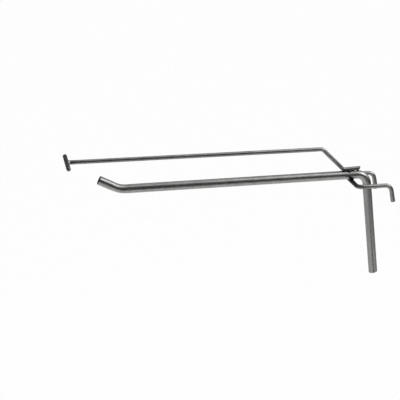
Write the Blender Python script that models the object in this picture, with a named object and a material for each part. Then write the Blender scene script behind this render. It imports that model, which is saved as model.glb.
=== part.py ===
"""Gridwall display hook with an overarm for a price label.

A thick wire carries the goods: straight, kicked up at its tip, and bent down at its heel into a leg
that rests on the grid. A thinner wire, bent to a U with two turned-down ends, is welded under it and
hangs on one horizontal wire of the grid. A second thin wire is welded on top and runs above the goods
to a crossbar that takes a label. All sizes are in metres. The origin is the point on the grid wire
that the hook hangs from, X points to the wall, Y runs along the grid wire and Z is up.
"""
import math

import bmesh
import bpy
from mathutils import Matrix, Vector

MM = 0.001

# Goods arm: the thick wire, with its leg
ROD_DIA = 8.0 * MM
ARM_REACH = 226.5 * MM        # from the leg's axis to the kick at the tip, along the arm
ARM_RISE = math.radians(5.4)  # the arm climbs away from the wall
TIP_LENGTH = 20.6 * MM
TIP_KICK = math.radians(27.0)
TIP_BEND_RADIUS = 23.0 * MM
HEEL_BEND_RADIUS = 10.0 * MM
LEG_LENGTH = 95.9 * MM        # from the arm's axis down to the cut end
FOOT_SHEAR = math.radians(5.0)  # the leg's cut end lies askew, lower on the side away from the wall
ROD_CUT_EDGE = 0.5 * MM       # worn edge of a sheared end

# Mounting wire: a U under the arm, its two ends turned down behind one wire of the grid
HOOK_DIA = 4.0 * MM
HOOK_SPACING = 47.5 * MM
HOOK_DROP = 15.7 * MM         # from the arms' axis down to the cut ends
HOOK_DROP_LEAN = math.radians(4.0)
HOOK_CORNER_RADIUS = 5.6 * MM
HOOK_SKEW = math.radians(3.0)  # the crossing lies a little askew under the arm
HOOK_DROP_RADIUS = 6.0 * MM
HOOK_AHEAD_OF_HEEL = 4.9 * MM  # the crossing sits on the arm's straight, this far from the heel's bend
HOOK_WELD_SET = 0.2 * MM      # how far the crossing is pressed into the arm
GRID_WIRE_DIA = 6.0 * MM
GRID_WIRE_PLAY = 2.7 * MM

# Overarm: the thin wire above the goods
OVERARM_DIA = 3.8 * MM
OVERARM_HEIGHT = 25.4 * MM    # between the two axes, where the ramp ends
OVERARM_FLARE = math.radians(0.35)
OVERARM_RAMP = math.radians(45.0)
OVERARM_BEND_RADIUS = 4.0 * MM
TAIL_LENGTH = 15.0 * MM
TAIL_OVERHANG = 2.5 * MM      # the tail ends this far over the heel's bend
TAIL_WELD_SET = 0.6 * MM
TAIL_LIFT = math.radians(1.7)
TAIL_SHEAR = math.radians(30.0)

# Crossbar for the label
CROSSBAR_DIA = 3.8 * MM
CROSSBAR_LENGTH = 50.8 * MM
CROSSBAR_REACH = 272.0 * MM   # from the leg's axis, along the arm
CROSSBAR_WELD_SET = 0.6 * MM
WIRE_CUT_EDGE = 0.5 * MM      # worn edge of a sheared thin wire

# Welds
WELD_GAP = 0.3 * MM           # clearance kept between a weld or wire and the wire that it meets
BEAD_RADIUS = 1.0 * MM
BEAD_SINK = 0.5 * MM          # how deep a bead's middle sits in the crevice
BEAD_RIPPLE = 0.10            # share of the radius that a bead swells and shrinks by
BEAD_PITCH = 2.4 * MM         # one swelling to the next
TAIL_BEAD_MARGIN = 1.6 * MM   # bare stretch at either end of the tail
CROSSING_BEAD_SWEEP = math.radians(34.0)
COLLAR_HEIGHT = 0.8 * MM      # the ring round the overarm's front end stands this far off it
COLLAR_LENGTH = 2.0 * MM
COLLAR_AHEAD = 0.4 * MM       # from the crossbar's skin to the ring's crest

# Facets
ROD_SIDES = 32
WIRE_SIDES = 24
BEAD_SIDES = 14
BEND_STEP = math.radians(8.0)
BEAD_STEP = 0.5 * MM
CUT_EDGE_STEPS = 2
COLLAR_PROFILE_STEPS = 6
SHARP_ANGLE = math.radians(38.0)

# Plain colours of the plated wire and of the welds
PLATED_ROD = ((0.33, 0.33, 0.34), 0.30)
PLATED_WIRE = ((0.30, 0.30, 0.31), 0.28)
WELD_METAL = ((0.20, 0.20, 0.20), 0.50)

# Directions in the plane of the arm and its leg
TO_WALL = Vector((math.cos(ARM_RISE), 0.0, -math.sin(ARM_RISE)))
OFF_ARM = Vector((math.sin(ARM_RISE), 0.0, math.cos(ARM_RISE)))
ACROSS = Vector((0.0, 1.0, 0.0))
DOWN = Vector((0.0, 0.0, -1.0))
DROP = Vector((math.sin(HOOK_DROP_LEAN), 0.0, -math.cos(HOOK_DROP_LEAN)))

# Radii, and the heights of the two thin wires over the arm's axis
ROD_R = ROD_DIA / 2
HOOK_R = HOOK_DIA / 2
OVERARM_R = OVERARM_DIA / 2
CROSSBAR_R = CROSSBAR_DIA / 2
CROSSING_HEIGHT = -(ROD_R + HOOK_R - HOOK_WELD_SET)
TAIL_HEIGHT = ROD_R + OVERARM_R - TAIL_WELD_SET

# The heel: where the arm's axis and the leg's axis meet, set so that the grid wire's top is the origin
GRID_SLOT = GRID_WIRE_DIA + GRID_WIRE_PLAY
HEEL_X = -(ROD_R + GRID_SLOT / 2)
HEEL_Z = (HOOK_R - CROSSING_HEIGHT) / math.cos(ARM_RISE) - HEEL_X * math.tan(ARM_RISE)
HEEL = Vector((HEEL_X, 0.0, HEEL_Z))
HEEL_TANGENT = HEEL_BEND_RADIUS * math.tan((math.pi / 2 - ARM_RISE) / 2)


def on_arm(forward, height=0.0, side=0.0):
    """A point given by its distance from the leg's axis along the arm, its height off it and its side."""
    return HEEL - forward * TO_WALL + height * OFF_ARM + side * ACROSS


def bent_path(corners, radii):
    """The centreline of a bent wire: straight runs between corners, with an arc at each inner corner."""
    path = [corners[0]]
    for before, corner, after, radius in zip(corners, corners[1:], corners[2:], radii):
        back = (before - corner).normalized()
        ahead = (after - corner).normalized()
        turn = math.pi - back.angle(ahead)
        centre = corner + (back + ahead).normalized() * (radius / math.cos(turn / 2))
        start = corner + back * (radius * math.tan(turn / 2)) - centre
        axis = ahead.cross(back).normalized()
        steps = math.ceil(turn / BEND_STEP)
        for step in range(steps + 1):
            path.append(centre + Matrix.Rotation(turn * step / steps, 3, axis) @ start)
    path.append(corners[-1])
    return path


def sweep(path, radii, sides, last_normal=None):
    """A closed round bar along a path, mitred at each point, with one radius for each point."""
    bm = bmesh.new()
    direction = (path[1] - path[0]).normalized()
    ring = bmesh.ops.create_circle(bm, segments=sides, radius=radii[0])["verts"]
    place = Matrix.Translation(path[0]) @ direction.to_track_quat("Z", "Y").to_matrix().to_4x4()
    bmesh.ops.transform(bm, matrix=place, verts=ring)
    edges = bm.edges[:]
    for index in range(1, len(path)):
        point = path[index]
        direction = (point - path[index - 1]).normalized()
        if index < len(path) - 1:
            normal = direction + (path[index + 1] - point).normalized()
        else:
            normal = last_normal or direction
        grown = bmesh.ops.extrude_edge_only(bm, edges=edges)["geom"]
        edges = [item for item in grown if isinstance(item, bmesh.types.BMEdge)]
        swell = radii[index] / radii[index - 1]
        for vert in (item for item in grown if isinstance(item, bmesh.types.BMVert)):
            vert.co += direction * ((point - vert.co).dot(normal) / direction.dot(normal))
            vert.co = point + (vert.co - point) * swell
    bmesh.ops.holes_fill(bm, edges=bm.edges[:], sides=0)
    face_outwards(bm)
    return bm


def face_outwards(bm):
    bmesh.ops.recalc_face_normals(bm, faces=bm.faces[:])
    if bm.calc_volume(signed=True) < 0.0:
        bmesh.ops.reverse_faces(bm, faces=bm.faces[:])


def ease_cut_ends(bm, sides, width):
    """Rounds over the rims of the two end faces."""
    rims = [edge for face in bm.faces if len(face.verts) == sides for edge in face.edges]
    bmesh.ops.bevel(bm, geom=rims, offset=width, segments=CUT_EDGE_STEPS, profile=0.5, affect="EDGES")


def material(name, look):
    colour, roughness = look
    made = bpy.data.materials.new(name)
    made.use_nodes = True
    shader = made.node_tree.nodes["Principled BSDF"]
    shader.inputs["Base Color"].default_value = (*colour, 1.0)
    shader.inputs["Metallic"].default_value = 1.0
    shader.inputs["Roughness"].default_value = roughness
    return made


def add_object(name, bm, look, parent):
    """Turns a bmesh into an object of the part."""
    mesh = bpy.data.meshes.new(name)
    bm.to_mesh(mesh)
    bm.free()
    mesh.shade_smooth()
    mesh.set_sharp_from_angle(angle=SHARP_ANGLE)
    mesh.materials.append(look)
    obj = bpy.data.objects.new(name, mesh)
    obj.parent = parent
    bpy.context.scene.collection.objects.link(obj)
    return obj


def add_cutter(name, path, radius, sides, parent):
    """The room that a wire needs: its own shape, larger by the weld gap."""
    bm = sweep(path, [radius + WELD_GAP] * len(path), sides)
    mesh = bpy.data.meshes.new(name)
    bm.to_mesh(mesh)
    bm.free()
    cutter = bpy.data.objects.new(name, mesh)
    cutter.parent = parent
    cutter.hide_render = True
    cutter.display_type = "WIRE"
    bpy.context.scene.collection.objects.link(cutter)
    return cutter


def cut(obj, *cutters):
    for cutter in cutters:
        modifier = obj.modifiers.new("seat on " + cutter.name, "BOOLEAN")
        modifier.operation = "DIFFERENCE"
        modifier.solver = "EXACT"
        modifier.object = cutter


def goods_arm_path():
    kick = on_arm(ARM_REACH)
    tip = on_arm(ARM_REACH + TIP_LENGTH * math.cos(TIP_KICK), TIP_LENGTH * math.sin(TIP_KICK))
    foot = HEEL + LEG_LENGTH * DOWN
    return bent_path([tip, kick, HEEL, foot], [TIP_BEND_RADIUS, HEEL_BEND_RADIUS])


def crossing_forward(across=0.0):
    """How far ahead of the leg's axis the mounting wire crosses, at this distance to the arm's side."""
    return HEEL_TANGENT + HOOK_AHEAD_OF_HEEL - across * math.tan(HOOK_SKEW)


def mounting_wire_path():
    side = HOOK_SPACING / 2
    over_slot = HEEL_X + ROD_R + GRID_SLOT + HOOK_R
    to_drop = (over_slot - on_arm(0.0, CROSSING_HEIGHT).x) / TO_WALL.x
    inner = [on_arm(crossing_forward(y), CROSSING_HEIGHT, y) for y in (-side, side)]
    outer = [on_arm(-to_drop, CROSSING_HEIGHT, y) for y in (-side, side)]
    ends = [corner + HOOK_DROP * DROP for corner in outer]
    corners = [ends[0], outer[0], inner[0], inner[1], outer[1], ends[1]]
    return bent_path(corners, [HOOK_DROP_RADIUS, HOOK_CORNER_RADIUS, HOOK_CORNER_RADIUS, HOOK_DROP_RADIUS])


def tail_end_forward():
    return HEEL_TANGENT - TAIL_OVERHANG


def tail_start_forward():
    return tail_end_forward() + TAIL_LENGTH


def tail_height(forward):
    """Height of the tail's axis: it lifts a little towards its end."""
    return TAIL_HEIGHT + (tail_start_forward() - forward) * math.tan(TAIL_LIFT)


def overarm_height(forward):
    """Height of the overarm's axis over the arm's axis: the two part a little towards the front."""
    return OVERARM_HEIGHT + (forward - ramp_top_forward()) * math.tan(OVERARM_FLARE)


def ramp_top_forward():
    return tail_start_forward() + (OVERARM_HEIGHT - TAIL_HEIGHT) / math.tan(OVERARM_RAMP)


def crossbar_centre():
    return on_arm(CROSSBAR_REACH, overarm_height(CROSSBAR_REACH))


def overarm_path():
    ramp_top = on_arm(ramp_top_forward(), overarm_height(ramp_top_forward()))
    back_along_overarm = (ramp_top - crossbar_centre()).normalized()
    front = crossbar_centre() + (CROSSBAR_R - CROSSBAR_WELD_SET) * back_along_overarm
    tail_start = on_arm(tail_start_forward(), tail_height(tail_start_forward()))
    tail_end = on_arm(tail_end_forward(), tail_height(tail_end_forward()))
    return bent_path([front, ramp_top, tail_start, tail_end], [OVERARM_BEND_RADIUS] * 2)


def crossbar_path():
    half = CROSSBAR_LENGTH / 2 * ACROSS
    return [crossbar_centre() - half, crossbar_centre() + half]


def bead_radii(path):
    """A bead's radius at each point: it ripples along its length and runs out at both ends."""
    length = sum((b - a).length for a, b in zip(path, path[1:]))
    radii = []
    done = 0.0
    for index, point in enumerate(path):
        done += (point - path[index - 1]).length if index else 0.0
        ripple = 1.0 + BEAD_RIPPLE * math.cos(2 * math.pi * done / BEAD_PITCH)
        to_end = min(done, length - done)
        run_out = math.sqrt(1.0 - (1.0 - min(to_end / BEAD_RADIUS, 1.0)) ** 2 * 0.9)
        radii.append(BEAD_RADIUS * ripple * run_out)
    return radii


def evenly(start, end):
    """Values from start to end, a bead's step apart."""
    steps = math.ceil(abs(end - start) / BEAD_STEP)
    return [start + (end - start) * step / steps for step in range(steps + 1)]


def tail_bead_path(side):
    """Along the crevice between the tail and the arm, on one side."""
    path = []
    first = tail_end_forward() + TAIL_BEAD_MARGIN
    last = tail_start_forward() - TAIL_BEAD_MARGIN
    to_arm = ROD_R + BEAD_RADIUS - BEAD_SINK
    to_tail = OVERARM_R + BEAD_RADIUS - BEAD_SINK
    for forward in evenly(last, first):
        apart = tail_height(forward)
        height = (to_arm ** 2 - to_tail ** 2 + apart ** 2) / (2 * apart)
        path.append(on_arm(forward, height, side * math.sqrt(to_arm ** 2 - height ** 2)))
    return path


def crossing_bead_path(side):
    """Round the arm's underside, beside the wire that crosses it, ahead of it or behind it."""
    to_arm = ROD_R + BEAD_RADIUS - BEAD_SINK
    to_wire = HOOK_R + BEAD_RADIUS - BEAD_SINK
    beside_wire = side * math.sqrt(to_wire ** 2 - (to_arm + CROSSING_HEIGHT) ** 2)
    half = to_arm * CROSSING_BEAD_SWEEP
    path = []
    for along in evenly(-half, half):
        height = -to_arm * math.cos(along / to_arm)
        across = to_arm * math.sin(along / to_arm)
        path.append(on_arm(crossing_forward(across) + beside_wire, height, across))
    return path


def collar():
    """A ring of weld round the end of the overarm, where it meets the crossbar."""
    bm = bmesh.new()
    axis = (overarm_path()[1] - overarm_path()[0]).normalized()
    outward = axis.cross(ACROSS).normalized()
    centre = crossbar_centre() + (CROSSBAR_R + COLLAR_AHEAD) * axis
    foot = centre + (OVERARM_R + WELD_GAP) * outward
    profile = []
    for step in range(COLLAR_PROFILE_STEPS + 1):
        angle = math.pi * step / COLLAR_PROFILE_STEPS
        point = foot + COLLAR_LENGTH / 2 * math.cos(angle) * axis + COLLAR_HEIGHT * math.sin(angle) * outward
        profile.append(bm.verts.new(point))
    for start, end in zip(profile, profile[1:] + profile[:1]):
        bm.edges.new((start, end))
    bmesh.ops.spin(bm, geom=bm.edges[:], cent=centre, axis=axis, angle=2 * math.pi, steps=WIRE_SIDES, use_merge=True)
    face_outwards(bm)
    return bm


def build():
    for old in list(bpy.data.objects):
        bpy.data.objects.remove(old, do_unlink=True)
    root = bpy.data.objects.new("gridwall_hook", None)
    bpy.context.scene.collection.objects.link(root)
    rod_look = material("plated_rod", PLATED_ROD)
    wire_look = material("plated_wire", PLATED_WIRE)
    weld_look = material("weld_metal", WELD_METAL)

    wires = {
        "goods_arm": (goods_arm_path(), ROD_R, ROD_SIDES, ROD_CUT_EDGE, rod_look),
        "mounting_wire": (mounting_wire_path(), HOOK_R, WIRE_SIDES, WIRE_CUT_EDGE, wire_look),
        "overarm": (overarm_path(), OVERARM_R, WIRE_SIDES, WIRE_CUT_EDGE, wire_look),
        "label_crossbar": (crossbar_path(), CROSSBAR_R, WIRE_SIDES, WIRE_CUT_EDGE, wire_look),
    }
    oblique_ends = {
        "goods_arm": Matrix.Rotation(-FOOT_SHEAR, 3, ACROSS) @ DOWN,
        "overarm": Matrix.Rotation(-TAIL_SHEAR, 3, ACROSS) @ TO_WALL,
    }
    objects = {}
    cutters = {}
    for name, (path, radius, sides, edge, look) in wires.items():
        bm = sweep(path, [radius] * len(path), sides, oblique_ends.get(name))
        ease_cut_ends(bm, sides, edge)
        objects[name] = add_object(name, bm, look, root)
        cutters[name] = add_cutter("room_for_" + name, path, radius, sides, root)
    cut(objects["mounting_wire"], cutters["goods_arm"])
    cut(objects["overarm"], cutters["goods_arm"], cutters["label_crossbar"])

    for name, side in (("near", -1), ("far", 1)):
        path = tail_bead_path(side)
        bead = add_object("weld_tail_" + name, sweep(path, bead_radii(path), BEAD_SIDES), weld_look, root)
        cut(bead, cutters["goods_arm"], cutters["overarm"])
    for name, side in (("front", 1), ("rear", -1)):
        path = crossing_bead_path(side)
        bead = add_object("weld_crossing_" + name, sweep(path, bead_radii(path), BEAD_SIDES), weld_look, root)
        cut(bead, cutters["goods_arm"], cutters["mounting_wire"])
    ring = add_object("weld_crossbar", collar(), weld_look, root)
    cut(ring, cutters["label_crossbar"])


build()
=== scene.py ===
import math
from collections import namedtuple

import bmesh
import bpy
from mathutils import Matrix, Quaternion, Vector, noise


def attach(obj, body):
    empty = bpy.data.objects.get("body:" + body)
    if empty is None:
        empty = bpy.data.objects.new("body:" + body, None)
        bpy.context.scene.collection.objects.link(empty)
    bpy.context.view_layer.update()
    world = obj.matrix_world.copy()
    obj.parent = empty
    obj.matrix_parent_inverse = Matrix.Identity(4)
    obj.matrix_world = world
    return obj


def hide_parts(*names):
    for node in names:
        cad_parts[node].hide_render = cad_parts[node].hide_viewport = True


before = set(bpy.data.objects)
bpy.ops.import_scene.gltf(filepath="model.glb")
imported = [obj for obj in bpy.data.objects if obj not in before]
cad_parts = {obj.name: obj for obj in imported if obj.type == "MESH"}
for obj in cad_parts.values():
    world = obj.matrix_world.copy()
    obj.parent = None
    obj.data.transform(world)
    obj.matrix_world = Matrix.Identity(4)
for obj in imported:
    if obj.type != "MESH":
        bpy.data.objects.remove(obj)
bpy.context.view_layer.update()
noise.seed_set(1)             # without it, noise_vector differs from run to run

# The looks of a gridwall display hook: four bent wires and the welds between them.
# Metres, in the frame of the solids: the origin is the top of the grid wire that the hook hangs on,
# X points to the wall, Y runs along the grid wire and Z is up.
MM = 0.001

# Goods arm: the thick wire, with its leg
ROD_DIA = 8.0 * MM
ARM_REACH = 226.5 * MM
ARM_RISE = math.radians(5.4)
TIP_LENGTH = 20.6 * MM
TIP_KICK = math.radians(27.0)
TIP_BEND_RADIUS = 23.0 * MM
HEEL_BEND_RADIUS = 10.0 * MM
LEG_LENGTH = 95.9 * MM
FOOT_SHEAR = math.radians(5.0)

# Mounting wire: a U under the arm, its two ends turned down behind one wire of the grid
HOOK_DIA = 4.0 * MM
HOOK_SPACING = 47.5 * MM
HOOK_DROP = 15.7 * MM
HOOK_DROP_LEAN = math.radians(4.0)
HOOK_CORNER_RADIUS = 5.6 * MM
HOOK_SKEW = math.radians(3.0)
HOOK_DROP_RADIUS = 6.0 * MM
HOOK_AHEAD_OF_HEEL = 4.9 * MM
HOOK_WELD_SET = 0.2 * MM
GRID_SLOT = 8.7 * MM          # between the leg and the turned-down ends

# Overarm: the thin wire above the goods
OVERARM_DIA = 3.8 * MM
OVERARM_HEIGHT = 25.4 * MM
OVERARM_FLARE = math.radians(0.35)
OVERARM_RAMP = math.radians(45.0)
OVERARM_BEND_RADIUS = 4.0 * MM
TAIL_LENGTH = 15.0 * MM
TAIL_OVERHANG = 2.5 * MM
TAIL_WELD_SET = 0.6 * MM
TAIL_LIFT = math.radians(1.7)
TAIL_SHEAR = math.radians(30.0)

# Crossbar for the label
CROSSBAR_DIA = 3.8 * MM
CROSSBAR_LENGTH = 50.8 * MM
CROSSBAR_REACH = 272.0 * MM
CROSSBAR_WELD_SET = 0.6 * MM

# Facets of the swept wires
ROD_SIDES = 96
WIRE_SIDES = 64
STRAIGHT_STEP = 1.5 * MM
ARC_STEP = math.radians(3.0)
EDGE_STEPS = 6                # rings over the rounded rim of a cut end
CAP_RINGS = 9                 # rings from that rim to the middle of the cut face
CLEAR_OF_CUT = 1.5            # full sections keep this many times the rim's width from a cut end
SHEAR_REACH = 5.0 * MM        # an oblique cut slants the sections over this length

# Marks of the bending tools
BEND_FLATTEN = 0.028          # share of the radius lost towards and away from the bend's middle
BEND_SPREAD = 0.020           # share gained across the bend
BEND_RUN_IN = 2.5 * MM        # the section changes shape over this length beside a bend
BEND_REACH = 3 * BEND_RUN_IN  # a station this near to a bend knows where the bend's middle is
DIE_MARK_DEPTH = 0.10 * MM
DIE_MARK_LENGTH = 1.3 * MM
DIE_MARK_AWAY = 2.2 * MM      # from the bend's end to the mark on its inner side
DIE_MARK_FOCUS = 8            # the higher, the less of the wire's round a mark takes up

# Welds
BEAD_LEG = 1.0 * MM           # how far a bead reaches along each wire from the crevice
BEAD_CROWN = 0.24 * MM
BEAD_UNEVEN = 0.16            # share by which a bead of the tail swells and shrinks at random
BEAD_SWELL_LENGTH = 1.5 * MM  # over this length
BEAD_ON_ARM = 1.80            # a bead of the tail reaches this many times further on the arm
BEAD_STEP = 0.10 * MM
BEAD_ARC_POINTS = 15
BEAD_RUN_OUT = 1.3 * MM
BEAD_END_SIZE = 0.04          # share of a bead's size that is left at its very ends
BEAD_SINK = 0.04 * MM         # the edges of a bead lie this deep in the wires
BEAD_ROOT = 0.8               # a bead closes inside the metal, at this share of the way out to the crevice
BEAD_ROUGH = 0.35             # share of the crown that the rough surface adds or takes
BEAD_ROUGH_SIZE = 0.9 * MM
TAIL_BEAD_MARGIN = 1.6 * MM
RIPPLE_PITCH = 0.62 * MM
RIPPLE_HEIGHT = 0.055 * MM
RIPPLE_CURVE = 0.5 * MM       # the ripples bow back at a bead's edges
RIPPLE_POWER = 0.7            # below 1: broad crests with narrow valleys between them
RELIEF_OF_RIPPLES = 0.55      # painted highlight: a bead is bright where its ripples are high
RELIEF_OF_ROUGH = 0.45        # and where its rough surface is; low places get painted shade
# The tacks that make up a bead of the tail: where the middle of each lies along it, its half length,
# its size as a share of the bead's leg, and how much painted highlight its crest gets
Tack = namedtuple("Tack", "middle half size clean")
TACKS = (Tack(3.4 * MM, 3.6 * MM, 1.4, 0.35), Tack(8.7 * MM, 2.7 * MM, 1.15, 1.0))
BETWEEN_TACKS = 0.5           # the bead's size there
TACK_NOISE_ROW = 5.0
CROSSING_BEAD_HALF = 2.7 * MM
CROSSING_BEAD_LEG = 1.4 * MM
CROSSING_BEAD_ROOT_SINK = 0.1 * MM
COLLAR_LEG = 1.0 * MM
COLLAR_STEPS = 96
COLLAR_SINK = 0.05 * MM
COLLAR_ROOT = 0.9
COLLAR_UNEVEN = 0.18
COLLAR_LUMPS = 2.0            # the higher, the smaller its lumps

# Drops of spatter, on the arm along each bead of the tail
SPATTER_DROPS = 7
SPATTER_SHIFT = 0.8           # how far a drop may be from its even place, as a share of their spacing
SPATTER_SIDE = 54.0           # degrees down the arm's side
SPATTER_SPREAD = 24.0
SPATTER_NOISE_STEP = 1.7      # drops this far apart in the noise lie at unlike places
SPATTER_NOISE_ROW = 0.5
DROP_ROWS = 10
DROP_SIDES = 14
DROP_RADIUS = 0.24            # in mm
DROP_RADIUS_SPREAD = 0.2
DROP_UNEVEN = 0.45
DROP_LUMPS = 1.3              # the higher, the smaller the lumps on a drop
DROP_RELIEF = 0.8             # drops get the same painted highlight as the crests of the beads

# Heat tint and painted crevice shade near the welds: full this near to them, and gone this far away
HEAT_TINT_AND_SHADE = (0.0, 6.0 * MM)
MOUNTING_TINT_AND_SHADE = (8.0 * MM, 30.0 * MM)   # on the mounting wire, painted shade where it runs under the arm, with heat tint
CREVICE_SHADE = (0.9 * MM, 2.9 * MM)  # painted shade, black in the crevice where a wire meets the arm

# Directions in the plane of the arm and its leg
TO_WALL = Vector((math.cos(ARM_RISE), 0.0, -math.sin(ARM_RISE)))
OFF_ARM = Vector((math.sin(ARM_RISE), 0.0, math.cos(ARM_RISE)))
ACROSS = Vector((0.0, 1.0, 0.0))
DOWN = Vector((0.0, 0.0, -1.0))
AWAY_FROM_WALL = Vector((-1.0, 0.0, 0.0))
DROP = Vector((math.sin(HOOK_DROP_LEAN), 0.0, -math.cos(HOOK_DROP_LEAN)))
ACROSS_COSINE = 0.9           # from this cosine on, a wire counts as running across the arm

ROD_R = ROD_DIA / 2
HOOK_R = HOOK_DIA / 2
OVERARM_R = OVERARM_DIA / 2
CROSSBAR_R = CROSSBAR_DIA / 2
CROSSING_HEIGHT = -(ROD_R + HOOK_R - HOOK_WELD_SET)
TAIL_HEIGHT = ROD_R + OVERARM_R - TAIL_WELD_SET
CROSSING_BEAD_RISE = HOOK_R * 0.98        # a bead touches the wire no further than this off its axis
COLLAR_RISE = 0.93 * CROSSBAR_R           # the same for the ring on the crossbar

HEEL_X = -(ROD_R + GRID_SLOT / 2)
HEEL_Z = (HOOK_R - CROSSING_HEIGHT) / math.cos(ARM_RISE) - HEEL_X * math.tan(ARM_RISE)
HEEL = Vector((HEEL_X, 0.0, HEEL_Z))
HEEL_TANGENT = HEEL_BEND_RADIUS * math.tan((math.pi / 2 - ARM_RISE) / 2)
TAIL_END = HEEL_TANGENT - TAIL_OVERHANG
TAIL_START = TAIL_END + TAIL_LENGTH
RAMP_TOP = TAIL_START + (OVERARM_HEIGHT - TAIL_HEIGHT) / math.tan(OVERARM_RAMP)

Station = namedtuple("Station", "point ahead run inward bend")
Ring = namedtuple("Ring", "station share push")

# Cut ends of the wires: how wide the rounded rim is and how far the face bulges. An oblique cut also has
# its angle and the side on which the wire is longer.
End = namedtuple("End", "edge dome shear longer_side", defaults=(0.0, OFF_ARM))
TIP_CUT = End(0.4 * MM, 0.12 * MM)
FOOT_CUT = End(0.5 * MM, 0.1 * MM, FOOT_SHEAR, AWAY_FROM_WALL)
HOOK_CUT = End(0.5 * MM, 0.1 * MM)
FRONT_CUT = End(0.2 * MM, 0.0)
TAIL_CUT = End(0.35 * MM, 0.08 * MM, TAIL_SHEAR)
CROSSBAR_CUT = End(0.8 * MM, 0.15 * MM)


def on_arm(forward, height=0.0, side=0.0):
    """A point given by its distance from the leg's axis along the arm, its height off it and its side."""
    return HEEL - forward * TO_WALL + height * OFF_ARM + side * ACROSS


def crossing_forward(across=0.0):
    """How far ahead of the leg's axis the mounting wire crosses, at this distance to the arm's side."""
    return HEEL_TANGENT + HOOK_AHEAD_OF_HEEL - across * math.tan(HOOK_SKEW)


def tail_height(forward):
    """How high the tail's axis lies over the arm's."""
    return TAIL_HEIGHT + (TAIL_START - forward) * math.tan(TAIL_LIFT)


def overarm_height(forward):
    """How high the overarm's axis lies over the arm's."""
    return OVERARM_HEIGHT + (forward - RAMP_TOP) * math.tan(OVERARM_FLARE)


def smooth(value):
    """A soft step from 0 to 1."""
    value = min(max(value, 0.0), 1.0)
    return value * value * (3.0 - 2.0 * value)


RAMP_CORNER = on_arm(RAMP_TOP, overarm_height(RAMP_TOP))
BAR_CENTRE = on_arm(CROSSBAR_REACH, overarm_height(CROSSBAR_REACH))

# Where the welds are, and the two crevices where black is painted as shade
WELD_UNDER_ARM = CROSSING_HEIGHT / 1.3    # between the arm's underside and the crossing wire's axis
WELD_LINES = [
    (on_arm(TAIL_START, ROD_R), on_arm(TAIL_END, ROD_R)),
    (
        on_arm(crossing_forward(), WELD_UNDER_ARM, -CROSSING_BEAD_HALF),
        on_arm(crossing_forward(), WELD_UNDER_ARM, CROSSING_BEAD_HALF),
    ),
    (BAR_CENTRE, BAR_CENTRE + CROSSBAR_DIA * TO_WALL),
]
CREVICE_SHADE_LINES = [
    (on_arm(TAIL_START + 1.0 * MM, ROD_R), on_arm(TAIL_START - 0.4 * MM, ROD_R)),
    (on_arm(crossing_forward() + HOOK_R, -ROD_R), on_arm(crossing_forward() - HOOK_R, -ROD_R)),
]


# The wires

def trace(corners, radii):
    """The centreline of a bent wire as stations a short step apart, and where the bending die marked it."""
    points = [corners[0]]
    bends = []
    for before, corner, after, radius in zip(corners, corners[1:], corners[2:], radii):
        back = (before - corner).normalized()
        ahead = (after - corner).normalized()
        turn = math.pi - back.angle(ahead)
        centre = corner + (back + ahead).normalized() * (radius / math.cos(turn / 2))
        start = corner + back * (radius * math.tan(turn / 2)) - centre
        axis = ahead.cross(back).normalized()
        points += straight_points(points[-1], centre + start)
        steps = math.ceil(turn / ARC_STEP)
        bends.append((len(points) - 1, len(points) - 1 + steps, centre))
        for step in range(1, steps + 1):
            points.append(centre + Matrix.Rotation(turn * step / steps, 3, axis) @ start)
    points += straight_points(points[-1], corners[-1])
    runs = [0.0]
    for start, end in zip(points, points[1:]):
        runs.append(runs[-1] + (end - start).length)
    stations = []
    last = len(points) - 1
    for index, point in enumerate(points):
        ahead = (points[min(index + 1, last)] - points[max(index - 1, 0)]).normalized()
        share, inward = bend_at(runs[index], point, ahead, runs, bends)
        stations.append(Station(point, ahead, runs[index], inward, share))
    marks_before = [runs[first] - DIE_MARK_AWAY for first, _, _ in bends]
    marks_after = [runs[end] + DIE_MARK_AWAY for _, end, _ in bends]
    return stations, marks_before + marks_after


def straight_points(start, end):
    """Points after start, up to and with end."""
    steps = max(1, math.ceil((end - start).length / STRAIGHT_STEP))
    return [start.lerp(end, step / steps) for step in range(1, steps + 1)]


def bend_at(run, point, ahead, runs, bends):
    """How much of a bend's shape the wire has here, and the direction to the bend's middle."""
    best = 0.0
    inward = OFF_ARM
    for first, end, centre in bends:
        outside = max(runs[first] - run, run - runs[end], 0.0)
        best = max(best, smooth(1.0 - outside / BEND_RUN_IN))
        if outside < BEND_REACH:
            to_centre = centre - point
            inward = (to_centre - to_centre.dot(ahead) * ahead).normalized()
    return best, inward


def section_radius(station, outward, radius, marks):
    """The wire's radius in one direction: round, but flattened in a bend and dented by its tool."""
    facing = outward.dot(station.inward)
    flat = station.bend * (BEND_SPREAD * (1.0 - facing ** 2) - BEND_FLATTEN * facing ** 2)
    dent = 0.0
    if facing > 0.0:
        for mark in marks:
            near = math.exp(-((station.run - mark) / DIE_MARK_LENGTH) ** 2)
            dent += DIE_MARK_DEPTH * near * facing ** DIE_MARK_FOCUS
    return radius * (1.0 + flat) - dent


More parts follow.
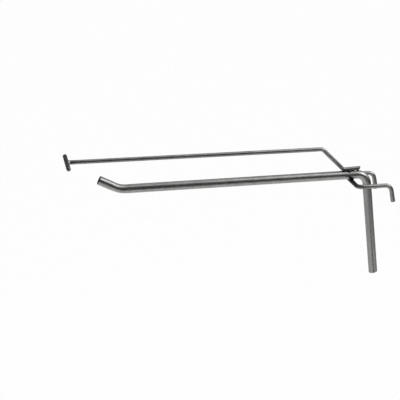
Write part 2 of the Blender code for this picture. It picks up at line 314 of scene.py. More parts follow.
def swept_wire(name, corners, radii, radius, sides, ends, node, looks, heat_tint_and_shade=HEAT_TINT_AND_SHADE):
    """A bent wire with cut ends. Each point also keeps where it lies on the wire before bending."""
    stations, marks = trace(corners, radii)
    length = stations[-1].run
    first_end, last_end = ends
    clear_first = first_end.edge * CLEAR_OF_CUT
    clear_last = length - last_end.edge * CLEAR_OF_CUT
    rings = end_rings(stations[0], 1.0, first_end, radius)
    rings += [Ring(station, 1.0, 0.0) for station in stations if clear_first < station.run < clear_last]
    rings += reversed(end_rings(stations[-1], -1.0, last_end, radius))

    normal = reference_normal(stations[0].ahead)
    ahead = stations[0].ahead
    points = []
    straight = []
    for station, share, push in rings:
        normal = ahead.rotation_difference(station.ahead) @ normal
        ahead = station.ahead
        side = ahead.cross(normal)
        end = first_end if station.run < length / 2 else last_end
        for index in range(sides):
            angle = 2 * math.pi * index / sides
            outward = math.cos(angle) * normal + math.sin(angle) * side
            reach = section_radius(station, outward, radius, marks) * share
            shift = push + sheared(station, outward * reach, end, length)
            points.append(station.point + outward * reach + ahead * shift)
            flat = (math.cos(angle) * radius * share, math.sin(angle) * radius * share)
            straight.append((station.run + shift, *flat))
    faces, slots = ring_faces(len(rings), sides)
    middles = [len(points), len(points) + 1]
    for station, end, sign in ((stations[0], first_end, -1.0), (stations[-1], last_end, 1.0)):
        points.append(station.point + sign * end.dome * station.ahead)
        straight.append((station.run + sign * end.dome, 0.0, 0.0))
    last_ring = (len(rings) - 1) * sides
    for index in range(sides):
        after = (index + 1) % sides
        faces.append((middles[0], after, index))
        faces.append((middles[1], last_ring + index, last_ring + after))
        slots += [1, 1]
    piece = new_piece(name, points, faces, looks, slots)
    store_vectors(piece, "straight", straight)
    # Near the welds: heat tint with painted crevice shade
    store_values(piece, "heat_tint_and_shade", [nearness(point, WELD_LINES, heat_tint_and_shade) for point in points])
    # Black painted crevice shade where a wire meets the arm
    store_values(piece, "crevice_shade", [nearness(point, CREVICE_SHADE_LINES, CREVICE_SHADE) for point in points])
    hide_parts(node)
    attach(piece, "root")
    return piece


def end_rings(station, sign, end, radius):
    """Rings of a cut end, from the middle of its face outwards, over its rounded rim to the full wire.

    Each has a station, a share of the radius, and how far the domed face stands out along the wire."""
    rings = []
    rim = 1.0 - end.edge / radius
    for step in range(1, CAP_RINGS + 1):
        share = rim * step / CAP_RINGS
        rings.append(Ring(station, share, -sign * end.dome * (1.0 - (share / rim) ** 2)))
    for step in range(1, EDGE_STEPS + 1):
        angle = math.pi / 2 * step / EDGE_STEPS
        share = 1.0 - end.edge / radius * (1.0 - math.sin(angle))
        back = sign * end.edge * (1.0 - math.cos(angle))
        rings.append(Ring(moved(station, back), share, 0.0))
    return rings


def moved(station, back):
    """The station further along its straight run."""
    return station._replace(point=station.point + back * station.ahead, run=station.run + back)


def sheared(station, offset, end, length):
    """How far a point near an oblique cut moves along the wire."""
    if not end.shear:
        return 0.0
    from_end = min(station.run, length - station.run)
    return smooth(1.0 - from_end / SHEAR_REACH) * math.tan(end.shear) * offset.dot(end.longer_side)


def reference_normal(ahead):
    """A direction square to the wire's start, in the plane of the arm and its leg where that can be."""
    across = ACROSS if abs(ahead.dot(ACROSS)) < ACROSS_COSINE else OFF_ARM
    return across.cross(ahead).normalized()


def ring_faces(count, sides):
    """Quads between neighbouring rings, and the material slot of each: 0 on the wire, 1 on a cut face."""
    faces = []
    slots = []
    for ring in range(count - 1):
        on_cap = ring < CAP_RINGS or ring >= count - 1 - CAP_RINGS
        for index in range(sides):
            after = (index + 1) % sides
            low = ring * sides
            high = low + sides
            faces.append((low + index, low + after, high + after, high + index))
            slots.append(int(on_cap))
    return faces, slots


def new_piece(name, points, faces, looks, slots=None):
    mesh = bpy.data.meshes.new(name)
    mesh.from_pydata([tuple(point) for point in points], [], faces)
    for look in looks:
        mesh.materials.append(look)
    if slots:
        mesh.polygons.foreach_set("material_index", slots)
    mesh.shade_smooth()
    mesh.update()
    piece = bpy.data.objects.new(name, mesh)
    bpy.context.scene.collection.objects.link(piece)
    return piece


def store_vectors(piece, name, vectors):
    attribute = piece.data.attributes.new(name, "FLOAT_VECTOR", "POINT")
    attribute.data.foreach_set("vector", [value for vector in vectors for value in vector])


def store_values(piece, name, values):
    attribute = piece.data.attributes.new(name, "FLOAT", "POINT")
    attribute.data.foreach_set("value", values)


def nearness(point, lines, reach):
    """1 within the first distance of any of these lines, falling to 0 at the second."""
    full, none = reach
    nearest = min(distance_to_line(point, start, end) for start, end in lines)
    return smooth((none - nearest) / (none - full))


def distance_to_line(point, start, end):
    along = end - start
    share = min(max((point - start).dot(along) / along.length_squared, 0.0), 1.0)
    return (point - start - share * along).length


# The welds

def tack_at(along, seed):
    """How large a bead of the tail is at this place, as a share of its leg, and how much painted highlight
    its crest gets.
    """
    size = BETWEEN_TACKS
    clean = 0.0
    for tack in TACKS:
        bell = smooth(1.0 - abs(along - tack.middle) / tack.half)
        size += (tack.size - BETWEEN_TACKS) * bell
        clean += tack.clean * bell
    uneven = noise.noise(Vector((along / BEAD_SWELL_LENGTH, seed, TACK_NOISE_ROW)))
    return size * (1.0 + BEAD_UNEVEN * uneven), min(clean, 1.0)


def bead_loop(toe_a, toe_b, root, crown, along, seed, clean=1.0):
    """One cross-section of a bead: an arched, rippled face from toe to toe, closed through its root."""
    outward = ((toe_a + toe_b) / 2 - root).normalized()
    loop = []
    relief = []
    for index in range(BEAD_ARC_POINTS):
        share = index / (BEAD_ARC_POINTS - 1)
        arch = math.sin(math.pi * share)
        bow = RIPPLE_CURVE * (2 * share - 1) ** 2
        crest = abs(math.sin(math.pi * (along + bow) / RIPPLE_PITCH)) ** RIPPLE_POWER
        point = toe_a.lerp(toe_b, share)
        rough = noise.noise(point / BEAD_ROUGH_SIZE + Vector((seed, seed, seed)))
        lift = crown * (arch + BEAD_ROUGH * arch * rough) + RIPPLE_HEIGHT * arch * crest
        loop.append(point + lift * outward)
        # Relief: painted highlight on the crests, painted shade in the valleys and at the toes; it also sets
        # the roughness
        relief.append(clean * arch * (RELIEF_OF_RIPPLES * crest + RELIEF_OF_ROUGH * (0.5 + rough)))
    loop.append(root)
    relief.append(0.0)
    return loop, relief


def skinned(node, loops, reliefs, closed, look, spatter=()):
    """A bead from its cross-sections, either closed on itself or with an end at each side."""
    size = len(loops[0])
    points = [point for loop in loops for point in loop]
    relief = [value for row in reliefs for value in row]
    faces = []
    count = len(loops)
    for ring in range(count if closed else count - 1):
        low = ring * size
        high = (ring + 1) % count * size
        for index in range(size):
            after = (index + 1) % size
            faces.append((low + index, high + index, high + after, low + after))
    if not closed:
        faces.append(tuple(range(size)))
        faces.append(tuple(reversed(range((count - 1) * size, count * size))))
    for centre, radius in spatter:
        add_drop(points, relief, faces, centre, radius)
    piece = new_piece(node.replace("weld_", "bead_"), points, faces, [look])
    outward_normals(piece)
    store_values(piece, "relief", relief)
    store_vectors(piece, "straight", [tuple(point) for point in points])
    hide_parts(node)
    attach(piece, "root")
    return piece


def on_drop(centre, radius, polar, angle):
    """A point on a drop of spatter, which isn't quite round."""
    flat = math.sin(polar)
    outward = Vector((flat * math.cos(angle), flat * math.sin(angle), math.cos(polar)))
    uneven = 1.0 + DROP_UNEVEN * noise.noise(DROP_LUMPS * outward + centre / MM)
    return centre + radius * uneven * outward


def add_drop(points, relief, faces, centre, radius):
    """A drop of spatter: a small ball, half of it in the wire."""
    first = len(points)
    points.append(on_drop(centre, radius, 0.0, 0.0))
    for row in range(1, DROP_ROWS):
        for index in range(DROP_SIDES):
            angle = 2 * math.pi * index / DROP_SIDES
            points.append(on_drop(centre, radius, math.pi * row / DROP_ROWS, angle))
    points.append(on_drop(centre, radius, math.pi, 0.0))
    relief += [DROP_RELIEF] * (len(points) - first)
    bottom = len(points) - 1
    for index in range(DROP_SIDES):
        after = (index + 1) % DROP_SIDES
        faces.append((first, first + 1 + index, first + 1 + after))
        for row in range(DROP_ROWS - 2):
            low = first + 1 + row * DROP_SIDES
            high = low + DROP_SIDES
            faces.append((low + index, high + index, high + after, low + after))
        last = first + 1 + (DROP_ROWS - 2) * DROP_SIDES
        faces.append((last + index, bottom, last + after))


def outward_normals(piece):
    bm = bmesh.new()
    bm.from_mesh(piece.data)
    bmesh.ops.recalc_face_normals(bm, faces=bm.faces[:])
    bm.to_mesh(piece.data)
    bm.free()


def run_out(along, length):
    """1 along a bead, down to nearly 0 at both ends."""
    to_end = min(along, length - along)
    return max(BEAD_END_SIZE, math.sqrt(1.0 - (1.0 - min(to_end / BEAD_RUN_OUT, 1.0)) ** 2))


def tail_bead(node, side, seed, look):
    """Along the crevice between the tail and the arm, on one side."""
    first = TAIL_START - TAIL_BEAD_MARGIN
    length = TAIL_LENGTH - 2 * TAIL_BEAD_MARGIN
    steps = round(length / BEAD_STEP)
    rod_reach = ROD_R - BEAD_SINK
    tail_reach = OVERARM_R - BEAD_SINK
    loops = []
    reliefs = []
    for step in range(steps + 1):
        along = length * step / steps
        forward = first - along
        apart = tail_height(forward)
        crevice = (ROD_R ** 2 - OVERARM_R ** 2 + apart ** 2) / (2 * apart)
        on_rod = math.acos(min(crevice / ROD_R, 1.0))
        on_tail = math.acos(min((apart - crevice) / OVERARM_R, 1.0))
        size, clean = tack_at(along, seed)
        leg = BEAD_LEG * run_out(along, length) * size
        rod_angle = on_rod + BEAD_ON_ARM * leg / ROD_R
        tail_angle = on_tail + leg / OVERARM_R
        toe_a = on_arm(forward, rod_reach * math.cos(rod_angle), side * rod_reach * math.sin(rod_angle))
        tail_drop = tail_reach * math.cos(tail_angle)
        toe_b = on_arm(forward, apart - tail_drop, side * tail_reach * math.sin(tail_angle))
        root = on_arm(forward, crevice, side * ROD_R * math.sin(on_rod) * BEAD_ROOT)
        crown = BEAD_CROWN * leg / BEAD_LEG
        loop, relief = bead_loop(toe_a, toe_b, root, crown, along, seed, clean)
        loops.append(loop)
        reliefs.append(relief)
    return skinned(node, loops, reliefs, False, look, spatter_drops(first, length, side, seed))


def spatter_drops(first, length, side, seed):
    """Drops on the arm beside a bead of the tail: the middle and the radius of each."""
    drops = []
    for number in range(SPATTER_DROPS):
        scatter = noise.noise_vector(Vector((SPATTER_NOISE_STEP * number, seed, SPATTER_NOISE_ROW)))
        forward = first - length * (number + 0.5 + SPATTER_SHIFT * scatter.x) / SPATTER_DROPS
        angle = math.radians(SPATTER_SIDE + SPATTER_SPREAD * scatter.y)
        place = on_arm(forward, ROD_R * math.cos(angle), side * ROD_R * math.sin(angle))
        drops.append((place, (DROP_RADIUS + DROP_RADIUS_SPREAD * scatter.z) * MM))
    return drops


def crossing_bead(node, side, seed, look):
    """Across the arm's underside, in the crevice ahead of or behind the wire that crosses there."""
    length = 2 * CROSSING_BEAD_HALF
    steps = round(length / BEAD_STEP)
    wire_reach = HOOK_R - BEAD_SINK
    loops = []
    reliefs = []
    for step in range(steps + 1):
        along = length * step / steps
        across = along - CROSSING_BEAD_HALF
        underside = -math.sqrt(ROD_R ** 2 - across ** 2)
        rise = min(underside - CROSSING_HEIGHT, CROSSING_BEAD_RISE)
        out = math.sqrt(HOOK_R ** 2 - rise ** 2)
        leg = CROSSING_BEAD_LEG * run_out(along, length)
        forward = crossing_forward(across)
        toe_a = on_arm(forward + side * (out + leg), underside + BEAD_SINK, across)
        wire_angle = math.atan2(out, rise) + leg / HOOK_R
        toe_b = on_arm(
            forward + side * wire_reach * math.sin(wire_angle),
            CROSSING_HEIGHT + wire_reach * math.cos(wire_angle),
            across,
        )
        root = on_arm(forward + side * out * BEAD_ROOT, underside + CROSSING_BEAD_ROOT_SINK, across)
        crown = BEAD_CROWN * leg / BEAD_LEG
        loop, relief = bead_loop(toe_a, toe_b, root, crown, along, seed)
        loops.append(loop)
        reliefs.append(relief)
    return skinned(node, loops, reliefs, False, look)


def crossbar_bead(node, seed, look):
    """A ring round the overarm's front end, where it butts on the crossbar."""
    back = (RAMP_CORNER - BAR_CENTRE).normalized()
    upward = back.cross(ACROSS).normalized()
    if upward.z < 0.0:
        upward = -upward
    loops = []
    reliefs = []
    for step in range(COLLAR_STEPS):
        angle = 2 * math.pi * step / COLLAR_STEPS
        outward = math.cos(angle) * upward + math.sin(angle) * ACROSS
        along = OVERARM_R * angle
        place = Vector((COLLAR_LUMPS * math.cos(angle), COLLAR_LUMPS * math.sin(angle), seed))
        swell = 1.0 + COLLAR_UNEVEN * noise.noise(place)
        leg = COLLAR_LEG * swell
        reach = OVERARM_R + leg
        rise = min(max(reach * math.cos(angle), -COLLAR_RISE), COLLAR_RISE)
        deep = math.sqrt(CROSSBAR_R ** 2 - rise ** 2)
        on_bar = BAR_CENTRE + (deep - COLLAR_SINK) * back + rise * upward
        toe_b = on_bar + reach * math.sin(angle) * ACROSS
        toe_a = BAR_CENTRE + (CROSSBAR_R + leg) * back + (OVERARM_R - COLLAR_SINK) * outward
        root = BAR_CENTRE + (deep * COLLAR_ROOT) * back + (OVERARM_R * BEAD_ROOT) * outward
        loop, relief = bead_loop(toe_a, toe_b, root, BEAD_CROWN * swell, along, seed)
        loops.append(loop)
        reliefs.append(relief)
    return skinned(node, loops, reliefs, True, look)


# Materials

WARMTH = 0.985                # the steel's blue as a share of its red and green
CREVICE_SHADE_TONE = 0.012                 # brightness of the painted crevice shade

# Noise on the straight wire: the length of its features along the wire and around it, its octaves,
# and a shift that makes it unlike the others
Grain = namedtuple("Grain", "along around detail shift")
FINE_LINES = Grain(18.0 * MM, 0.16 * MM, 3.0, 0.0)
BROAD_LINES = Grain(55.0 * MM, 0.9 * MM, 2.0, 3.0)
MOTTLE = Grain(1.5 * MM, 1.1 * MM, 5.0, 7.0)
CLOUD = Grain(9.0 * MM, 4.0 * MM, 2.0, 11.0)
FINE_TEAR = Grain(0.12 * MM, 0.12 * MM, 2.0, 2.0)
BROAD_TEAR = Grain(0.5 * MM, 0.35 * MM, 6.0, 5.0)
WELD_GRAIN = Grain(0.35 * MM, 0.35 * MM, 5.0, 1.0)
GRAIN_ROUGHNESS = 0.6

# From which to which value of its noise a metal goes from dark to light
PLATING_SPAN = (0.43, 0.57)
CUT_SPAN = (0.35, 0.65)
WELD_SPAN = (0.35, 0.85)
FULL_RANGE = (0.0, 1.0)

# The strength and the height of each bump
LINES_BUMP = (0.35, 0.02 * MM)
PATCHES_BUMP = (0.30, 0.05 * MM)
CUT_BUMP = (0.6, 0.08 * MM)
WELD_BUMP = (0.5, 0.06 * MM)


def grey(tone):
    """The colour of plated steel at this brightness."""
    return tone, tone, WARMTH * tone


def add(tree, kind, **settings):
    """A shader node. Settings name its properties, or its inputs with underscores for spaces."""
    made = tree.nodes.new(kind)
    for key, value in settings.items():
        if hasattr(made, key):
            setattr(made, key, value)
        else:
            made.inputs[key.replace("_", " ")].default_value = value
    return made


def blank_material(name):
    made = bpy.data.materials.new(name)
    made.use_nodes = True
    return made, made.node_tree, made.node_tree.nodes["Principled BSDF"]


def blank_metal(name):
    made, tree, shader = blank_material(name)
    shader.inputs["Metallic"].default_value = 1.0
    return made, tree, shader


def math_node(tree, operation, first, second):
    made = add(tree, "ShaderNodeMath", operation=operation)
    for socket, value in zip(made.inputs, (first, second)):
        if isinstance(value, (int, float)):
            socket.default_value = value
        else:
            tree.links.new(value, socket)
    return made.outputs[0]


def weighted_sum(tree, *terms):
    """The sum of some values, each given with its weight."""
    parts = [math_node(tree, "MULTIPLY", value, weight) for value, weight in terms]
    total = parts[0]
    for part in parts[1:]:
        total = math_node(tree, "ADD", total, part)
    return total


def wire_noise(tree, grain):
    """This grain, from 0 to 1."""
    place = add(tree, "ShaderNodeAttribute", attribute_name="straight")
    scaled = add(tree, "ShaderNodeMapping")
    scaled.inputs["Scale"].default_value = (1 / grain.along, 1 / grain.around, 1 / grain.around)
    scaled.inputs["Location"].default_value = (grain.shift, grain.shift, grain.shift)
    tree.links.new(place.outputs["Vector"], scaled.inputs["Vector"])
    made = add(tree, "ShaderNodeTexNoise", Scale=1.0, Detail=grain.detail, Roughness=GRAIN_ROUGHNESS)
    tree.links.new(scaled.outputs["Vector"], made.inputs["Vector"])
    return made.outputs[0]


def stored(tree, name):
    """A value that the mesh keeps at its points."""
    return add(tree, "ShaderNodeAttribute", attribute_name=name).outputs["Fac"]


def ranged(tree, value, source, target):
    """A value moved from one range to another, and kept inside it."""
    made = add(tree, "ShaderNodeMapRange")
    for key, number in zip(("From Min", "From Max", "To Min", "To Max"), (*source, *target)):
        made.inputs[key].default_value = number
    tree.links.new(value, made.inputs["Value"])
    return made.outputs["Result"]


def mixed_colour(tree, share, first, second):
    """The first colour at a share of 0, the second at 1. A number stands for the steel at that brightness."""
    made = add(tree, "ShaderNodeMix", data_type="RGBA")
    for name, kind, value in (("Factor", "VALUE", share), ("A", "RGBA", first), ("B", "RGBA", second)):
        socket = next(s for s in made.inputs if s.name == name and s.type == kind)
        if isinstance(value, float):
            socket.default_value = (*grey(value), 1.0)
        else:
            tree.links.new(value, socket)
    return next(s for s in made.outputs if s.type == "RGBA")


def bumped(tree, height, bump, onto=None):
    strength, distance = bump
    made = add(tree, "ShaderNodeBump", Strength=strength, Distance=distance)
    tree.links.new(height, made.inputs["Height"])
    if onto:
        tree.links.new(onto, made.inputs["Normal"])
    return made.outputs["Normal"]


def plated_steel(name, dark, light, tint_and_shade_tone, roughness):
    """Bright plated wire: drawing lines along it, a mottled grain, and heat tint of the welds with painted
    crevice shade near them.

    Its roughness lies round the one given, and rises where the heat tint and painted shade lie."""
    made, tree, shader = blank_metal(name)
    mottle = wire_noise(tree, MOTTLE)
    lines = weighted_sum(tree, (wire_noise(tree, FINE_LINES), 0.45), (wire_noise(tree, BROAD_LINES), 0.55))
    patches = weighted_sum(tree, (mottle, 0.6), (wire_noise(tree, CLOUD), 0.4))
    tone = weighted_sum(tree, (lines, 0.4), (patches, 0.6))
    plating = mixed_colour(tree, ranged(tree, tone, PLATING_SPAN, FULL_RANGE), dark, light)

    uneven = ranged(tree, mottle, (0.3, 0.7), (0.8, 1.0))
    # Heat tint with painted crevice shade near the welds, broken up by the mottle
    tint_and_shade = math_node(tree, "MULTIPLY", stored(tree, "heat_tint_and_shade"), uneven)
    sooted = mixed_colour(tree, tint_and_shade, plating, tint_and_shade_tone)
    # Painted crevice shade: black where a wire meets the arm
    colour = mixed_colour(tree, stored(tree, "crevice_shade"), sooted, CREVICE_SHADE_TONE)
    tree.links.new(colour, shader.inputs["Base Color"])

    patchy = ranged(tree, patches, (0.35, 0.65), (roughness - 0.05, roughness + 0.07))
    rough = weighted_sum(tree, (patchy, 1.0), (tint_and_shade, 0.15), (lines, 0.04))
    tree.links.new(rough, shader.inputs["Roughness"])
    normal = bumped(tree, lines, LINES_BUMP)
    tree.links.new(bumped(tree, patches, PATCHES_BUMP, normal), shader.inputs["Normal"])
    return made


def cut_steel(name, dark, light):
    """A sheared face: the steel torn by the blade, in a fine and a broad grain."""
    made, tree, shader = blank_metal(name)
    broad = wire_noise(tree, BROAD_TEAR)
    tone = weighted_sum(tree, (wire_noise(tree, FINE_TEAR), 0.4), (broad, 0.6))
    colour = mixed_colour(tree, ranged(tree, tone, CUT_SPAN, FULL_RANGE), dark, light)
    tree.links.new(colour, shader.inputs["Base Color"])
    tree.links.new(ranged(tree, broad, (0.3, 0.7), (0.36, 0.60)), shader.inputs["Roughness"])
    tree.links.new(bumped(tree, tone, CUT_BUMP), shader.inputs["Normal"])
    return made


def weld_metal(name, dark, light):
    """Plated weld: a painted highlight on its crests, painted shade in its valleys and at its toes, where it
    is also rough.
    """
    made, tree, shader = blank_metal(name)
    grain = wire_noise(tree, WELD_GRAIN)
    height = weighted_sum(tree, (stored(tree, "relief"), 0.7), (grain, 0.5))
    colour = mixed_colour(tree, ranged(tree, height, WELD_SPAN, FULL_RANGE), dark, light)
    tree.links.new(colour, shader.inputs["Base Color"])
    tree.links.new(ranged(tree, height, (0.3, 0.9), (0.55, 0.26)), shader.inputs["Roughness"])
    tree.links.new(bumped(tree, grain, WELD_BUMP), shader.inputs["Normal"])
    return made


# The studio

FLOOR_Z = -1.2                # the hook hangs well above the floor
FLOOR_SIZE = 60.0
FLOOR_PLAIN_WHITE = 0.88      # share of what is seen of the floor that is plain white
STUDIO_CENTRE = on_arm(ARM_REACH / 2)
WORLD_ON_MATT = 0.90          # strength of the world for matt surfaces; reflections and the camera see 1

# A lamp lights matt surfaces only, from where the reflections show KEY_LAMP
LAMP_DISTANCE = 1.7
LAMP_SIZE = (1.5, 1.1)
LAMP_RADIANCE = 2.2

# What reflections show: see studio_tone
SHELL_RADIUS = 2.0
SHELL_BOTTOM = math.radians(-36.0)
SHELL_ROWS = 84
SHELL_COLUMNS = 180
DARK_WALL = 0.11
GROUND_TONE = 0.79
GROUND_EDGE = math.radians(-12.0)
GROUND_TILT = math.radians(4.0)
GROUND_HIGH_SIDE = math.radians(-106.0)
GROUND_BLEND = math.radians(6.5)
CEILING_TONE = 0.48
CEILING_EDGE = math.radians(55.0)
CEILING_BLEND = math.radians(11.0)

# Round patches in the reflections: full within one angle from their middle, gone at the other. In degrees.
Patch = namedtuple("Patch", "tone azimuth elevation full none")
KEY_GLOW = Patch(1.9, 63.0, 40.5, 0.0, 46.7)
KEY_LAMP = Patch(5.2, 72.0, 31.0, 0.0, 19.6)
SIDE_PANEL = Patch(0.58, 118.0, 41.0, 36.0, 58.0)
DIM_BACK = Patch(0.49, 148.0, -27.0, 31.0, 89.0)      # share taken from the ground
DARK_FRONT = Patch(0.96, 0.0, -38.5, 16.5, 19.0)      # share taken from the ground

# The photo's camera
CAMERA_SENSOR = 36.0
CAMERA_LENS = 100.33
CAMERA_CLIP_END = 200.0
CAMERA_AIM = Vector((-0.16404, 0.0, 0.00861))
CAMERA_DISTANCE = 0.99906
CAMERA_AZIMUTH = math.radians(-8.57)
CAMERA_ELEVATION = math.radians(16.48)
CAMERA_ROLL = math.radians(6.54)


def seen_directly(tree):
    """1 for what the camera sees and what metal and glass show, 0 for light on matt surfaces."""
    path = add(tree, "ShaderNodeLightPath").outputs
    camera_or_glossy = math_node(tree, "MAXIMUM", path["Is Camera Ray"], path["Is Glossy Ray"])
    return math_node(tree, "MAXIMUM", camera_or_glossy, path["Is Transmission Ray"])


def studio_world():
    world = bpy.data.worlds.new("studio")
    bpy.context.scene.world = world
    world.use_nodes = True
    tree = world.node_tree
    background = tree.nodes["Background"]
    background.inputs["Color"].default_value = (1.0, 1.0, 1.0, 1.0)
    strength = ranged(tree, seen_directly(tree), FULL_RANGE, (WORLD_ON_MATT, 1.0))
    tree.links.new(strength, background.inputs["Strength"])


def studio_floor():
    """A pale floor. Most of what is seen of it is plain white, so its shadows stay, but soft."""
    half = FLOOR_SIZE / 2
    corners = [(-half, -half, FLOOR_Z), (half, -half, FLOOR_Z), (half, half, FLOOR_Z), (-half, half, FLOOR_Z)]
    made, tree, shader = blank_material("pale_floor")
    shader.inputs["Base Color"].default_value = (0.97, 0.97, 0.97, 1.0)
    shader.inputs["Roughness"].default_value = 0.9
    shader.inputs["Specular IOR Level"].default_value = 0.0
    white = add(tree, "ShaderNodeEmission", Strength=1.0)
    blend = add(tree, "ShaderNodeMixShader")
    tree.links.new(math_node(tree, "MULTIPLY", seen_directly(tree), FLOOR_PLAIN_WHITE), blend.inputs[0])
    tree.links.new(shader.outputs[0], blend.inputs[1])
    tree.links.new(white.outputs[0], blend.inputs[2])
    tree.links.new(blend.outputs[0], tree.nodes["Material Output"].inputs["Surface"])
    floor = new_piece("floor", corners, [(0, 1, 2, 3)], [made])


def towards(azimuth, elevation):
    """A direction in the studio. Azimuth 0 is towards -Y and 90 degrees towards +X."""
    flat = math.cos(elevation)
    return Vector((math.sin(azimuth) * flat, -math.cos(azimuth) * flat, math.sin(elevation)))


def shown(patch, direction):
    """The patch's tone in this direction."""
    middle = towards(math.radians(patch.azimuth), math.radians(patch.elevation))
    away = math.degrees(direction.angle(middle))
    return patch.tone * (1.0 - smooth((away - patch.full) / (patch.none - patch.full)))


def studio_tone(azimuth, elevation):
    """What a mirror shows in this direction: dark walls, a white ground, soft lights and a pale ceiling."""
    direction = towards(azimuth, elevation)
    ground_edge = GROUND_EDGE + GROUND_TILT * math.cos(azimuth - GROUND_HIGH_SIDE)
    ground = GROUND_TONE * smooth((ground_edge - elevation) / GROUND_BLEND)
    ground *= (1.0 - shown(DIM_BACK, direction)) * (1.0 - shown(DARK_FRONT, direction))
    ceiling = CEILING_TONE * smooth((elevation - CEILING_EDGE) / CEILING_BLEND)
    lights = sum(shown(patch, direction) for patch in (KEY_GLOW, KEY_LAMP, SIDE_PANEL))
    return DARK_WALL + ground + ceiling + lights


def reflection_shell():
    """A dome round the hook that only reflections show, down to where the floor takes over."""
    points = []
    tones = []
    for row in range(SHELL_ROWS + 1):
        elevation = SHELL_BOTTOM + (math.pi / 2 - SHELL_BOTTOM) * row / SHELL_ROWS
        for column in range(SHELL_COLUMNS):
            azimuth = 2 * math.pi * column / SHELL_COLUMNS
            points.append(STUDIO_CENTRE + SHELL_RADIUS * towards(azimuth, elevation))
            tones.append(studio_tone(azimuth, elevation))
    faces = []
    for row in range(SHELL_ROWS):
        for column in range(SHELL_COLUMNS):
            low = row * SHELL_COLUMNS
            high = low + SHELL_COLUMNS
            after = (column + 1) % SHELL_COLUMNS
            faces.append((low + column, low + after, high + after, high + column))
    made, tree, shader = blank_material("reflection_shell")
    shader.inputs["Base Color"].default_value = (0.0, 0.0, 0.0, 1.0)
    shader.inputs["Specular IOR Level"].default_value = 0.0
    shader.inputs["Emission Strength"].default_value = 1.0
    tree.links.new(stored(tree, "tone"), shader.inputs["Emission Color"])
    shell = new_piece("reflection_shell", points, faces, [made])
    store_values(shell, "tone", tones)
    for ray in ("camera", "diffuse", "transmission", "volume_scatter", "shadow"):
        setattr(shell, "visible_" + ray, False)


def key_softbox():
    """A wide lamp that faces the hook. The shell stands for it in reflections."""
    light = bpy.data.lights.new("key_softbox", "AREA")
    light.shape = "RECTANGLE"
    light.size, light.size_y = LAMP_SIZE
    light.energy = LAMP_RADIANCE * math.pi * LAMP_SIZE[0] * LAMP_SIZE[1]
    lamp = bpy.data.objects.new("key_softbox", light)
    way = towards(math.radians(KEY_LAMP.azimuth), math.radians(KEY_LAMP.elevation))
    lamp.location = STUDIO_CENTRE + LAMP_DISTANCE * way
    lamp.rotation_mode = "QUATERNION"
    lamp.rotation_quaternion = way.to_track_quat("Z", "Y")
    lamp.visible_camera = False
    lamp.visible_glossy = False
    bpy.context.scene.collection.objects.link(lamp)


def photo_camera():
    """The photo's view: the hook from one side, a little from the front and above, rolled a few degrees."""
    data = bpy.data.cameras.new("photo_camera")
    data.sensor_width = CAMERA_SENSOR
    data.lens = CAMERA_LENS
    data.clip_end = CAMERA_CLIP_END
    camera = bpy.data.objects.new("photo_camera", data)
    back = towards(CAMERA_AZIMUTH, CAMERA_ELEVATION)
    camera.location = CAMERA_AIM + CAMERA_DISTANCE * back
    camera.rotation_mode = "QUATERNION"
    level = back.to_track_quat("Z", "Y")
    camera.rotation_quaternion = Quaternion(back, -CAMERA_ROLL) @ level
    bpy.context.scene.collection.objects.link(camera)
    bpy.context.scene.camera = camera


bpy.context.scene.view_settings.view_transform = "Standard"
studio_world()
studio_floor()
reflection_shell()
key_softbox()
photo_camera()

# The fourth value of each plating is the heat tint with painted crevice shade near the welds; on the mounting
# wire it is near black, painted shade under the arm
ROD_PLATING = plated_steel("rod_plating", dark=0.226, light=0.352, tint_and_shade_tone=0.14, roughness=0.19)
WIRE_PLATING = plated_steel("wire_plating", dark=0.18, light=0.30, tint_and_shade_tone=0.085, roughness=0.18)
MOUNTING_PLATING = plated_steel("mounting_plating", dark=0.20, light=0.33, tint_and_shade_tone=0.02, roughness=0.18)
CUT_STEEL = cut_steel("cut_steel", dark=0.10, light=0.24)
WELD = weld_metal("weld", dark=0.010, light=0.52)
# Near-black copy of the weld for the beads under the arm: painted shade
SHADE_PAINTED_WELD = weld_metal("shade_painted_weld", dark=0.006, light=0.05)
# Bright copy of the weld for the ring at the crossbar: painted highlight
HIGHLIGHT_PAINTED_WELD = weld_metal("highlight_painted_weld", dark=0.12, light=0.90)

kick = on_arm(ARM_REACH)
tip = on_arm(ARM_REACH + TIP_LENGTH * math.cos(TIP_KICK), TIP_LENGTH * math.sin(TIP_KICK))
foot = HEEL + LEG_LENGTH * DOWN
swept_wire(
    "goods_arm_wire", [tip, kick, HEEL, foot], [TIP_BEND_RADIUS, HEEL_BEND_RADIUS],
    ROD_R, ROD_SIDES, (TIP_CUT, FOOT_CUT), "goods_arm", [ROD_PLATING, CUT_STEEL],
)

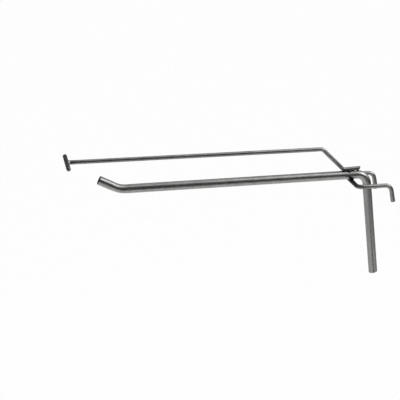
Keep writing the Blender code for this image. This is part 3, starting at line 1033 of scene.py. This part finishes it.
half_spacing = HOOK_SPACING / 2
over_slot = HEEL_X + ROD_R + GRID_SLOT + HOOK_R
to_drop = (over_slot - on_arm(0.0, CROSSING_HEIGHT).x) / TO_WALL.x
inner = [on_arm(crossing_forward(side), CROSSING_HEIGHT, side) for side in (-half_spacing, half_spacing)]
outer = [on_arm(-to_drop, CROSSING_HEIGHT, side) for side in (-half_spacing, half_spacing)]
ends = [corner + HOOK_DROP * DROP for corner in outer]
swept_wire(
    "mounting_hook_wire", [ends[0], outer[0], inner[0], inner[1], outer[1], ends[1]],
    [HOOK_DROP_RADIUS, HOOK_CORNER_RADIUS, HOOK_CORNER_RADIUS, HOOK_DROP_RADIUS],
    HOOK_R, WIRE_SIDES, (HOOK_CUT, HOOK_CUT),
    "mounting_wire", [MOUNTING_PLATING, CUT_STEEL], MOUNTING_TINT_AND_SHADE,
)

front = BAR_CENTRE + (CROSSBAR_R - CROSSBAR_WELD_SET) * (RAMP_CORNER - BAR_CENTRE).normalized()
tail_start = on_arm(TAIL_START, tail_height(TAIL_START))
tail_end = on_arm(TAIL_END, tail_height(TAIL_END))
swept_wire(
    "overarm_wire", [front, RAMP_CORNER, tail_start, tail_end], [OVERARM_BEND_RADIUS] * 2,
    OVERARM_R, WIRE_SIDES, (FRONT_CUT, TAIL_CUT), "overarm", [WIRE_PLATING, CUT_STEEL],
)
swept_wire(
    "label_crossbar_wire",
    [BAR_CENTRE - CROSSBAR_LENGTH / 2 * ACROSS, BAR_CENTRE + CROSSBAR_LENGTH / 2 * ACROSS], [],
    CROSSBAR_R, WIRE_SIDES, (CROSSBAR_CUT, CROSSBAR_CUT),
    "label_crossbar", [WIRE_PLATING, CUT_STEEL],
)

tail_bead("weld_tail_near", -1, 1.0, WELD)
tail_bead("weld_tail_far", 1, 4.0, WELD)
crossing_bead("weld_crossing_front", 1, 2.0, SHADE_PAINTED_WELD)
crossing_bead("weld_crossing_rear", -1, 6.0, SHADE_PAINTED_WELD)
crossbar_bead("weld_crossbar", 3.0, HIGHLIGHT_PAINTED_WELD)
